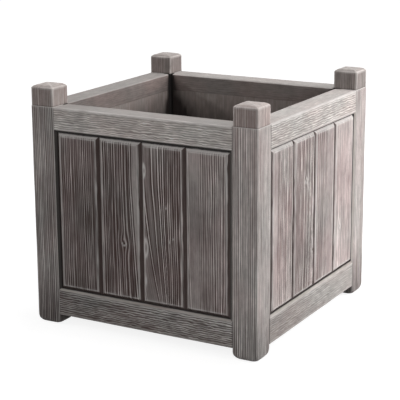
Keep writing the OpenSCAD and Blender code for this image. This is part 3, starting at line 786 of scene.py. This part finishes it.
def board_skin(seed, place, index, figure, patches):
    """Face, tongue, groove and back of a board as one outline, carried upwards. The face's depth
    at any place is the deepest of the flat and its four bevels, rounded where they meet."""
    z0, z1 = FIELD_Z
    x0 = -2 * BOARD_PITCH + index * BOARD_PITCH + JOINT
    x1 = x0 + BOARD_PITCH - 2 * JOINT
    near = np.linspace(0, 9, 19)
    middle = np.linspace(9, BOARD_PITCH - 9.3, 120)[1:-1]
    face_x = x0 + np.concatenate([near, middle, BOARD_PITCH - 2 * JOINT - near[::-1]])
    ends = np.array([0, 0.8, 2, 3.2, 4.2, 5, 5.6, 6.1, 6.7, 7.5, 9])
    foot, head = [BOARD_Z[0], z0 - 0.01], [z1 + 0.01, BOARD_Z[1]]
    field = np.linspace(z0 + 13, z1 - 13, 76)
    rows = np.concatenate([foot, z0 + ends, field, z1 - ends[::-1], head])
    x, z = np.meshgrid(face_x, rows)
    across, up = x - x0, z - z0
    noise = mottle(seed, across, up)

    # Rings bend round a knot, which has rings of its own, a dark eye and a pale rim
    tone, soft_wash_and_shade, contrast, leans, strong, plain_strips, knots, marks = figure
    bent, ringed, dark, pale = across, 0.0, 0.0, 0.0
    for kx, kz, kr in knots:
        dx, dz = across - kx, up - kz
        pull = bell(dx, 3.4 * kr) * bell(dz, 5.5 * kr)
        bent = bent - 0.75 * dx * pull + 0.5 * kr * pull * np.tanh(dz / (2 * kr))
        eye = np.hypot(dx / kr, dz / (1.25 * kr))
        ringed = ringed + np.exp(-(eye**2) / 1.4) * (0.5 + 0.5 * np.cos(4.5 * eye))
        dark = dark + 0.6 * bell(eye, 0.8)
        pale = pale + 0.8 * bell(eye - 1.5, 0.45) * (dz < 0.4 * kr)
    for mx, mz, half_w, half_h, rim in marks:
        eye = np.hypot((across - mx) / half_w, (up - mz) / half_h)
        pale = pale + 0.9 * bell(eye - rim, 0.75 - 0.35 * rim)

    # Each ring leans by its own amount, solved by repeating, since the lean depends on the ring
    level = up / (z1 - z0) - 0.5
    rings = bent
    for _ in range(8):
        rings = bent - np.interp(rings, *np.transpose(leans)) * (level - 0.85 * level**2)
    rings = rings + 0.8 * noise(5, 30, 60)
    grain = brushed_rings(
        seed, rings, up, BOARD_RINGS, sway=0.5, sway_length=90.0, sharpness=4.6, dash=38.0
    )
    for start, end, hard in plain_strips:
        within = ease(rings, start - 1.5, start) * ease(rings, end + 1.5, end)
        grain = grain - 0.85 * (grain - hard) * within
    for ring, strength in strong:
        off = rings - ring
        kept_line = strength * (0.8 + 0.2 * soft_noise(seed + 11, ring, up / 26))
        line = kept_line * bell(off, 0.75)
        pale = pale + 0.6 * np.clip(strength - 0.45, 0, 1) * line
        grain = grain + 1.1 * line - 0.45 * strength * bell(np.abs(off) - 2.3, 1.2)
    grain = BOARD_GRAIN + contrast * (grain - BOARD_GRAIN) + 0.5 * ringed

    # The bevels were sanded, not brushed, and the upper one is painted pale, as painted light from
    # above
    insets = [x - x0, x1 - x, z - z0, z1 - z]
    from_left, from_right, from_foot, from_head = insets
    surfaces = [np.full_like(x, RECESS)] + [LEDGE_U - inset for inset in insets]
    u = np.minimum(soft_max(surfaces, 0.42 * (1 + 0.35 * noise(6, 20, 45))), LEDGE_U)
    low = u - RECESS
    on_bevel = ease(low, 0.5, 1.6)
    grain = np.clip(grain * (1 - 0.75 * on_bevel) + 0.5 * 0.75 * on_bevel, 0, 1)
    upper = on_bevel * (from_head < BEVEL) * (from_head < np.minimum(from_left, from_right))
    relief = BOARD_RELIEF * (UNWORN - grain) * ease(BEVEL - low, 0, 1.5)
    relief = relief + 0.12 * (1 - noise(7, 30, 90))
    u = np.where((z < z0) | (z > z1), LEDGE_U, np.minimum(u + relief, LEDGE_U))

    # The right and lower bevels are painted dark, as painted shade with light from the upper left,
    # except at the far end of the right side, and at its near end on the left bevel as well. The
    # deep parts of the other bevels take wash and painted shade.
    ragged = low + 0.6 * noise(10, 6, 18)
    shaded_bevels = (from_foot < BEVEL) & (from_foot < from_left)
    if (place, index) != ("right", 3):
        shaded_bevels = shaded_bevels | (from_right < BEVEL) & (from_right < from_head)
    if (place, index) == ("right", 0):
        shaded_bevels = shaded_bevels | (from_left < BEVEL) & (from_left < from_head)
    clean = CLEAN_BEVEL[place]
    wash_and_painted_shade = np.where(shaded_bevels, ease(ragged, 0.6, 1.8), ease(ragged, clean, clean + 1.6))
    wash_and_painted_shade = np.where(upper > 0, ease(ragged, 4.6, 5.8), wash_and_painted_shade)
    wash_and_painted_shade = 0.93 * wash_and_painted_shade * (0.94 + 0.06 * noise(12, 5, 30))
    arris = bell(np.minimum.reduce(insets) - BEVEL - 0.8, 1.6) * (0.7 + 0.3 * noise(8, 8, 24))
    wear_and_painted_light = np.clip(0.95 * arris + pale + UPPER_BEVEL_PAINTED_LIGHT[place] * upper, 0, 0.92)
    soft = (1 - wear_and_painted_light) * np.clip(1 - grain, 0, 1) ** 1.3
    # Dark wash in the soft wood, on the front boards partly painted shade of the brushed hollows
    soft_wash_and_shade = soft_wash_and_shade * soft * (0.72 + 0.45 * noise(13, 36, 75))
    wash_and_painted_shade = np.clip(np.maximum(wash_and_painted_shade, soft_wash_and_shade) * (1 - np.minimum(pale, 0.9)) + dark, 0, 0.95)
    clouds = 0.13 * noise(9, 50, 90) + 0.12 * noise(15, 22, 40)
    stain = tone * (1 + clouds + 0.12 * soft_noise(seed + 14, rings / 6, up / 150))
    stain = patched(stain, across, up, patches)

    # The rest of the outline: right edge with its tongue, back, left edge with its groove
    t0, t1 = TONGUE_U - TONGUE_T / 2, TONGUE_U + TONGUE_T / 2
    g0, g1 = t0 - GROOVE_PLAY, t1 + GROOVE_PLAY
    edge = OPEN_W / 2 - 2 * JOINT
    rim = [(x1, t0), (x1 + TONGUE_L, t0), (x1 + TONGUE_L, t1), (x1, t1), (x1, BOARD_BACK_U)]
    if index == 3:
        rim = [(edge, LEDGE_U), (edge, BOARD_BACK_U)]
    if index == 0:
        rim += [(-edge, BOARD_BACK_U), (-edge, LEDGE_U)]
    else:
        rim += [(x0, BOARD_BACK_U), (x0, g1), (x0 + TONGUE_L, g1), (x0 + TONGUE_L, g0), (x0, g0)]
    rim_x, rim_u = (np.tile(column, (len(rows), 1)) for column in np.transpose(rim))
    full_x, full_u = np.hstack([x, rim_x]), np.hstack([u, rim_u])
    full_z = np.repeat(rows[:, None], full_x.shape[1], 1)
    sheet = np.dstack([full_x, full_u - PLANTER_W / 2, full_z])
    # The hidden edges, tongue and back take wash with painted shade in the joints
    plain = np.zeros_like(rim_x)
    values = {
        "lie": lie(seed, full_x, full_z),
        "grain": np.hstack([grain, plain + 0.5]),
        "wear_and_painted_light": np.hstack([wear_and_painted_light, plain]),
        "wash_and_painted_shade": np.hstack([wash_and_painted_shade, plain + 0.6]),
        "tone": np.hstack([stain, plain + tone]),
    }
    return turned(sheet, SIDES.index(place)), values


for side, place in enumerate(SIDES):
    for index, figure in enumerate(FIGURES[place]):
        patches = PATCHES[place][index] if place in PATCHES else []
        sheet, values = board_skin(60 + 10 * side + index, place, index, figure, patches)
        name = f"board_{place}_{index + 1}"
        fit(name, "brushed", [sheet], [values], board_timber)


# Beads: a strip round each opening, 5.5 mm wide, whose face falls 3 mm back towards the boards.
# It is sanded smooth, mitred at the four corners, and pinned in front of the boards' edges.
BEAD_FALL = 3.0
BEAD_BACK_U = 6.2
PANEL_H = PANEL_Z[1] - PANEL_Z[0]

bead_timber = stained_timber(
    "sanded grey stained softwood, beads", "#B2A6A2", "#ADA9A2", "#D8D2CE", "#120D0C", 0.1, 0.12
)

# Strength of the painted shade on the lower, right, upper and left strip, and how far from the
# frame it begins
BEAD_PAINTED_SHADE = {
    "front": [(0.96, 3.6), (0.88, 0), (1.0, 0), (0.93, 0)],
    "right": [(0.45, 4.2), (0.7, 4.3), (0.9, 2.6), (1.0, 0.0)],
    "back": [(0.2, 1), (0.9, 0.6), (1.0, 0.6), (0.9, 0.6)],
    "left": [(0.2, 1), (0.9, 0.6), (1.0, 0.6), (0.9, 0.6)],
}


def bead_strip(seed, length, wash_and_painted_shade):
    """Outline of depth and distance from the frame, carried from mitre to mitre: the half
    length is shorter by the distance from the frame, so that the ends slope at 45 degrees."""
    slope = np.linspace(0.8, BEAD_W - 0.7, 6)
    w = np.concatenate([[0, 0.25], slope, [BEAD_W - 0.2, BEAD_W, BEAD_W, 0]])[::-1]
    back = [BEAD_FALL + 0.15, BEAD_FALL + 0.6, BEAD_BACK_U, BEAD_BACK_U]
    u = np.concatenate([[0.5, 0.22], BEAD_FALL * slope / BEAD_W, back])[::-1]
    w, t = np.meshgrid(w, np.linspace(-1, 1, 96))
    x = t * (length / 2 - JOINT - w)
    noise = mottle(seed, w, x)
    uneven = 0.1 * (1 + soft_noise(seed, x / 16, w / 3)) * (u < BEAD_BACK_U - 1)
    values = {
        "lie": lie(seed, w, x),
        "grain": 0.5 + 0.3 * noise(1, 1.6, 40),
        "wear_and_painted_light": np.clip(0.22 + 0.3 * noise(2, 4, 30) + 0.4 * bell(w, 0.8), 0, 0.8),
        # Painted shade on the strip from the given distance on, and on its back
        "wash_and_painted_shade": np.maximum(wash_and_painted_shade[0] * ease(w, wash_and_painted_shade[1], wash_and_painted_shade[1] + 0.8), 0.9 * (u > BEAD_FALL + 0.1)),
        "tone": 1.0,
    }
    return x, u + uneven, w, values


# Length and middle of the lower, right, upper and left strip
panel_middle = sum(PANEL_Z) / 2
BEAD_STRIPS = [
    (OPEN_W, 0, PANEL_Z[0]), (PANEL_H, OPEN_W / 2, panel_middle),
    (OPEN_W, 0, PANEL_Z[1]), (PANEL_H, -OPEN_W / 2, panel_middle),
]
for side, place in enumerate(SIDES):
    sheets, values = [], []
    for turn, (length, middle_x, middle_z) in enumerate(BEAD_STRIPS):
        x, u, z, carried = bead_strip(140 + 4 * side + turn, length, BEAD_PAINTED_SHADE[place][turn])
        for _ in range(turn):
            x, z = -z, x
        sheets.append(turned(np.dstack([x + middle_x, u - PLANTER_W / 2, z + middle_z]), side))
        values.append(carried)
    fit(f"bead_{place}", "mitred", sheets, values, bead_timber)


# Linings: 12 mm boards that close the inside of each wall. They lap into the rails' rebates,
# are sanded smooth and stained thinly, so they show hardly any grain.
LINING_Z = (PANEL_Z[0] - LINING_LAP, PANEL_Z[1] + LINING_LAP - 0.3)
LINING_PITCH = 9.0
LINING_RELIEF = 0.12

lining_board = stained_timber(
    "smooth stained lining board", "#AD9F9A", "#A9A19C", "#BDB2AE", "#1C1412", 0.07, 0.1, 0.7
)
outline = [
    (-slit_x, LINING_U, 0), (slit_x, LINING_U, 0), (slit_x, RAIL_T, 0.8), (-slit_x, RAIL_T, 0.8)
]
profile, normals, around, away = carried_profile(outline, 3.5)
inner = profile[:, 1] > RAIL_T - 0.5
s, z = np.meshgrid(around, np.linspace(*LINING_Z, 78))
for side, place in enumerate(SIDES):
    seed = 170 + side
    noise = mottle(seed, s, z)
    grain = brushed_rings(seed, s, z, LINING_PITCH, sway=3.0, sway_length=120.0)
    uneven = LINING_RELIEF * (noise(7, 24, 70) + 0.5 * (grain - 0.5) - 1.2) * inner
    x, u = np.moveaxis(profile + normals * uneven[..., None], -1, 0)
    # Painted shade darkens the linings with depth below the rim and beside the corner slits
    painted_shade = INTERIOR_PAINTED_SHADE * ease(POST_H - z, *INTERIOR_SHADE_DEPTH) + 0.12 * noise(11, 6, 16)
    values = {
        "lie": lie(seed, s, z),
        "grain": grain,
        "wear_and_painted_light": 0.05 + 0.05 * noise(8, 40, 60),
        "wash_and_painted_shade": np.clip(painted_shade + corner_shade(x, z, side), 0, DARKEST),
        "tone": LINING_TONES[side] * (1 + 0.1 * noise(9, 55, 80)),
    }
    sheet = turned(np.dstack([x, u - PLANTER_W / 2, z]), side)
    fit(f"lining_{place}", "sanded", [sheet], [values], lining_board)


# Floor: five slats of sawn, pressure treated pine from front to back, with gaps between them
# for the water, on a bearer along the front and one along the back. The outer slats are cut
# back at the posts.
SLAT_COUNT = 5
SLAT_T = 18.0
SLAT_Z = 51.0
SLAT_EDGE_R = 2.0
DRAIN_GAP = 8.0
FLOOR_CLEAR = 2.0
FLOOR_HALF = PLANTER_W / 2 - RAIL_T - FLOOR_CLEAR
SLAT_W = (2 * FLOOR_HALF - (SLAT_COUNT - 1) * DRAIN_GAP) / SLAT_COUNT
SLAT_PITCH = SLAT_W + DRAIN_GAP
POST_KEEPOUT = PLANTER_W / 2 - POST_W - FLOOR_CLEAR
SAWN_PITCH = 6.0

floor_timber = stained_timber(
    "sawn pressure treated pine, floor",
    "#A08C6E", "#94886F", "#B9A88A", "#3A3022", 0.24, 0.35, 0.85,
)


def sawn_stick(seed, carried, along, relief, rubbed, tone=1.0, heart=None):
    """An outline carried along a stick, its ends eased off: across, along and up of its points,
    and the values that they carry. heart is where round the outline the rings have their middle."""
    profile, normals, around, away = carried
    s, y = np.meshgrid(around, along)
    rings = s if heart is None else np.hypot(s - heart, 14 + 0.06 * (y + 200))
    grain = brushed_rings(seed, rings, y, SAWN_PITCH, sway=2.0)
    from_end = along[-1] - np.abs(y)
    moved = relief * (grain - 1.0) - 0.5 * (1 - ease(from_end, 0, 1.2))
    x, z = np.moveaxis(profile + normals * moved[..., None], -1, 0)
    values = {
        "lie": lie(seed, s, y),
        "grain": grain,
        "wear_and_painted_light": rubbed * bell(away, 1.5),
        "wash_and_painted_shade": 0.5 * (1 - ease(from_end, 0, 1.0)) + 0.12,
        "tone": tone + 0.12 * soft_noise(seed + 9, s / 50, y / 120),
    }
    return x, y, z, values


# Places along a slat. Its notches at the posts end 3 mm from its ends, where two rows meet
ends = np.array([0, 0.4, 1.2, 2.6, 3.0, 3.0, 5.0])
field = np.linspace(9 - FLOOR_HALF, FLOOR_HALF - 9, 90)
slat_y = np.concatenate([ends - FLOOR_HALF, field, FLOOR_HALF - ends[::-1]])
notched = np.concatenate([np.arange(7) < 5, np.zeros(90, bool), np.arange(7) > 1])[:, None]
for index in range(SLAT_COUNT):
    x0 = -FLOOR_HALF + index * SLAT_PITCH
    x1, z1 = x0 + SLAT_W, SLAT_Z + SLAT_T
    corners = [(x0, SLAT_Z), (x1, SLAT_Z), (x1, z1), (x0, z1)]
    outline = carried_profile([(*corner, SLAT_EDGE_R) for corner in corners], 1.3)
    x, y, z, values = sawn_stick(
        190 + index, [part[::-1] for part in outline], slat_y, 0.34, 0.35,
        tone=1 + 0.04 * math.sin(2.3 * index), heart=40 + 15 * index,
    )
    x = np.where(notched, np.clip(x, -POST_KEEPOUT, POST_KEEPOUT), x)
    sheet = np.dstack([x, y, z])
    fit(f"floor_slat_{index + 1}", "sawn", [sheet], [values], floor_timber)


# Bearers: two battens of the same pine, screwed to the insides of the front and the back bottom
# rail. The slats lie on them.
BEARER_W = 28.0
BEARER_H = 28.0
BEARER_Z = 23.0
BEARER_EDGE_R = 2.0

bearer_half = OPEN_W / 2 - FLOOR_CLEAR
ends = np.array([0, 0.4, 1.2])
field = np.linspace(4 - bearer_half, bearer_half - 4, 90)
bearer_x = np.concatenate([ends - bearer_half, field, bearer_half - ends[::-1]])
u1, z1 = RAIL_T + BEARER_W, BEARER_Z + BEARER_H
corners = [(RAIL_T, z1), (RAIL_T, BEARER_Z), (u1, BEARER_Z), (u1, z1)]
outline = carried_profile([(*corner, BEARER_EDGE_R) for corner in corners], 1.5)
for side, place in ((0, "front"), (2, "back")):
    u, x, z, values = sawn_stick(200 + side, outline, bearer_x, 0.3, 0.3)
    sheet = turned(np.dstack([x, u - PLANTER_W / 2, z]), side)
    fit(f"bearer_{place}", "sawn", [sheet], [values], floor_timber)


# Screws: 4.5 mm countersunk wood screws of yellow zinc plated steel with a cross recess. They
# come down through the slats into the bearers, and lie across the bearers into the rails.
SCREW_R = 2.25
HEAD_R = 4.5
HEAD_H = 3.0
CROSS_DEPTH = 1.6
THREAD_PITCH = 2.2
THREAD_H = 0.35
SCREW_OFFSET = 20.0
FLOOR_SCREW_L = 35.0
BEARER_SCREW_L = 46.0

plated_steel, tree = new_material("yellow zinc plated steel")
place = add(tree, "ShaderNodeTexCoord").outputs["Object"]
# Plating shifts from straw to pale green over some 4 mm
sheen = add(tree, "ShaderNodeTexNoise", {"Scale": 250.0, "Detail": 2.0}, {"Vector": place})
settings = {"data_type": "RGBA", 6: linear("#B9A46A"), 7: linear("#A9AE8C")}
tint = add(tree, "ShaderNodeMix", settings, {0: sheen}).outputs[2]
dull = add(tree, "ShaderNodeMapRange", {"To Min": 0.3, "To Max": 0.5}, {"Value": sheen})
links = {"Base Color": tint, "Roughness": dull}
shader = add(tree, "ShaderNodeBsdfPrincipled", {"Metallic": 1.0}, links)
add(tree, "ShaderNodeOutputMaterial", None, {"Surface": shader})


def screw_sheet(length):
    """Rings of a screw that points down from z = 0: a flat head whose cross recess is deepest
    along its two arms, a cone under the head, and a shank with a coarse thread and a point."""
    angle = np.linspace(0, 2 * np.pi, 32, endpoint=False)[None, :]
    head_r = np.array([0.3, 0.8, 1.3, 1.8, 2.3, 2.8, 3.4, 4.1, HEAD_R])
    arm = np.minimum(np.abs(np.sin(angle)), np.abs(np.cos(angle))) * head_r[:, None]
    recess = CROSS_DEPTH * ease(arm, 0.75, 0.45) * ease(head_r[:, None], 2.9, 1.6)
    thread_z = -np.arange(HEAD_H + 3.0, length - 5.0, 0.75)
    shank_r = np.full(len(thread_z), SCREW_R - THREAD_H)
    r = np.concatenate([[HEAD_R, SCREW_R, SCREW_R], shank_r, [1.3, 0.25]])[:, None]
    z = [[-0.25, -HEAD_H, -HEAD_H - 2.5], thread_z, [-length + 3.0, -length]]
    z = np.concatenate(z)[:, None]
    ridge = np.zeros((len(r), 32))
    turns = 2 * np.pi * thread_z[:, None] / THREAD_PITCH + angle
    ridge[3 : 3 + len(thread_z)] = THREAD_H * (0.5 + 0.5 * np.cos(turns)) ** 3
    radius = np.concatenate([head_r[:, None] + 0 * angle, r + ridge])
    height = np.concatenate([-recess, z + 0 * angle])
    return np.dstack([radius * np.cos(angle), radius * np.sin(angle), height])[:, ::-1]


floor_screw, bearer_screw = screw_sheet(FLOOR_SCREW_L), screw_sheet(BEARER_SCREW_L)
screw_y = PLANTER_W / 2 - RAIL_T - BEARER_W / 2
sheets = []
for index in range(SLAT_COUNT):
    for dx in (-SCREW_OFFSET, SCREW_OFFSET):
        for y in (-screw_y, screw_y):
            turn = 0.7 * len(sheets)
            c, s = math.cos(turn), math.sin(turn)
            spun = floor_screw @ np.transpose([(c, -s, 0), (s, c, 0), (0, 0, 1)])
            sheets.append(spun + [(index - 2) * SLAT_PITCH + dx, y, SLAT_Z + SLAT_T])
fit("floor_screws", "cross_head", sheets, [{}] * len(sheets), plated_steel)

x, y, z = np.moveaxis(bearer_screw, -1, 0)
sheets = []
for side in (0, 2):
    for index in range(SLAT_COUNT - 1):
        from_middle, depth = (index - 1.5) * SLAT_PITCH, RAIL_T + BEARER_W - PLANTER_W / 2
        lying = np.dstack([x + from_middle, z + depth, BEARER_Z + BEARER_H / 2 - y])
        sheets.append(turned(lying, side))
fit("bearer_screws", "cross_head", sheets, [{}] * len(sheets), plated_steel)


# Dowels: a fluted beech dowel, 12 mm thick and 40 mm long, glued half into each post and half
# into its cap. Nothing of it shows on the finished planter.
DOWEL_R = 6.0
DOWEL_L = 40.0
FLUTE_COUNT = 16
FLUTE_DEPTH = 0.35

beech, tree = new_material("fluted beech dowel")
place = add(tree, "ShaderNodeTexCoord").outputs["Object"]
# Beech shows flecks about 0.5 mm wide and 3 mm long
fleck_place = add(tree, "ShaderNodeMapping", {"Scale": (2000, 2000, 330)}, {"Vector": place})
flecks = add(tree, "ShaderNodeTexNoise", {"Scale": 1.0, "Detail": 2.0}, {"Vector": fleck_place})
settings = {"data_type": "RGBA", 6: linear("#C79F78"), 7: linear("#B28A64")}
tint = add(tree, "ShaderNodeMix", settings, {0: flecks}).outputs[2]
settings = {"Roughness": 0.6, "IOR": 1.47}
shader = add(tree, "ShaderNodeBsdfPrincipled", settings, {"Base Color": tint})
add(tree, "ShaderNodeOutputMaterial", None, {"Surface": shader})

angle = np.linspace(0, 2 * np.pi, 96, endpoint=False)[None, :]
ends = np.array([0, 1.2, 1.3])
dowel_z = np.concatenate([ends, [DOWEL_L / 2], DOWEL_L - ends[::-1]])[:, None]
chamfer = np.array([1.2, 0.1, 0, 0, 0, 0.1, 1.2])[:, None]
flute = FLUTE_DEPTH * (0.5 - 0.5 * np.cos(FLUTE_COUNT * angle)) ** 2
radius = DOWEL_R - chamfer - flute
middle = POST_W / 2 - PLANTER_W / 2
x, y = radius * np.cos(angle) + middle, radius * np.sin(angle) + middle
dowel = np.dstack([x, y, dowel_z + POST_H - DOWEL_L / 2 + 0 * angle])
sheets = [turned(dowel, corner) for corner in range(4)]
fit("cap_dowels", "fluted", sheets, [{}] * 4, beech)


# Ground: a flat sheet of white paper, 12 m square, which keeps the planter's faint shadow and is
# pure white round it where the camera sees it directly. It isn't part of the planter.
ground_mesh = bpy.data.meshes.new("studio_floor")
ground_mesh.from_pydata([(-6, -6, 0), (6, -6, 0), (6, 6, 0), (-6, 6, 0)], [], [(0, 1, 2, 3)])
ground = bpy.data.objects.new("studio_floor", ground_mesh)
bpy.context.scene.collection.objects.link(ground)
paper, tree = new_material("white paper sweep")


def seen_directly(tree):
    """1 for the camera's rays and for those that a gloss reflects, and 0 for all others."""
    path = add(tree, "ShaderNodeLightPath")
    links = {0: path.outputs["Is Camera Ray"], 1: path.outputs["Is Glossy Ray"]}
    return add(tree, "ShaderNodeMath", {"operation": "MAXIMUM"}, links)


# The paper fades to pure white between 0.4 and 0.8 m from the planter's middle
place = add(tree, "ShaderNodeTexCoord").outputs["Object"]
reach = add(tree, "ShaderNodeVectorMath", {"operation": "LENGTH"}, {0: place})
settings = {"From Min": 0.4, "From Max": 0.8, "To Min": 0.86, "To Max": 1.0}
fade = add(tree, "ShaderNodeMapRange", settings, {"Value": reach.outputs["Value"]})
# Under the planter it fades to near black between 85 and 200 mm in from the planter's faces, as
# painted shadow
offset = add(tree, "ShaderNodeVectorMath", {"operation": "ABSOLUTE"}, {0: place})
offset = add(tree, "ShaderNodeSeparateXYZ", None, {0: offset})
links = {0: offset.outputs[0], 1: offset.outputs[1]}
outwards = add(tree, "ShaderNodeMath", {"operation": "MAXIMUM"}, links)
settings = {"From Min": 0.05, "From Max": 0.165, "To Min": 0.04, "To Max": 1.0}
painted_shadow_fade = add(tree, "ShaderNodeMapRange", settings, {"Value": outwards})
strength = seen_directly(tree)
for factor in (fade, painted_shadow_fade):
    links = {0: strength, 1: factor}
    strength = add(tree, "ShaderNodeMath", {"operation": "MULTIPLY"}, links)
glow = add(tree, "ShaderNodeEmission", {"Color": (1, 1, 1, 1)}, {"Strength": strength})
diffuse = add(tree, "ShaderNodeBsdfDiffuse", {"Color": linear("#A2A2A2")})
lit = add(tree, "ShaderNodeAddShader", None, {0: diffuse, 1: glow})
add(tree, "ShaderNodeOutputMaterial", None, {"Surface": lit})
ground_mesh.materials.append(paper)


# World: faint light from all round, and a white backdrop where the camera or a gloss sees it.
world = bpy.data.worlds.new("studio")
bpy.context.scene.world = world
world.use_nodes = True
tree = world.node_tree
tree.nodes.clear()
room = add(tree, "ShaderNodeBackground", {"Color": (1, 1, 1, 1), "Strength": 0.06})
backdrop = add(tree, "ShaderNodeBackground", {"Color": (1, 1, 1, 1), "Strength": 1.0})
links = {0: seen_directly(tree), 1: room, 2: backdrop}
mixed = add(tree, "ShaderNodeMixShader", None, links)
add(tree, "ShaderNodeOutputWorld", None, {"Surface": mixed})


# Lamps: a soft one above the opening, one low behind the right corner, one off the right side,
# one high on the left that rakes the front, so that its relief shows, and a weak one in front.
# Each row gives name, place, size in metres and watts.
LAMPS = [
    ("top_lamp", (0.2, 0.3, 2.6), 1.2, 28.0),
    ("right_back_lamp", (1.3, 0.9, 0.7), 0.6, 15.0),
    ("right_lamp", (2.6, -0.2, 1.0), 0.8, 16.0),
    ("raking_lamp", (-2.6, -1.35, 1.7), 0.4, 18.0),
    ("front_lamp", (1.0, -2.2, 1.5), 0.8, 9.5),
]
LAMP_AIM = Vector((0, 0, 0.22))
for name, at, size, watts in LAMPS:
    lamp = bpy.data.lights.new(name, "AREA")
    lamp.shape = "DISK"
    lamp.size = size
    lamp.energy = watts
    holder = bpy.data.objects.new(name, lamp)
    bpy.context.scene.collection.objects.link(holder)
    holder.location = at
    holder.rotation_euler = (LAMP_AIM - Vector(at)).to_track_quat("-Z", "Y").to_euler()

bpy.context.scene.view_settings.view_transform = "Standard"
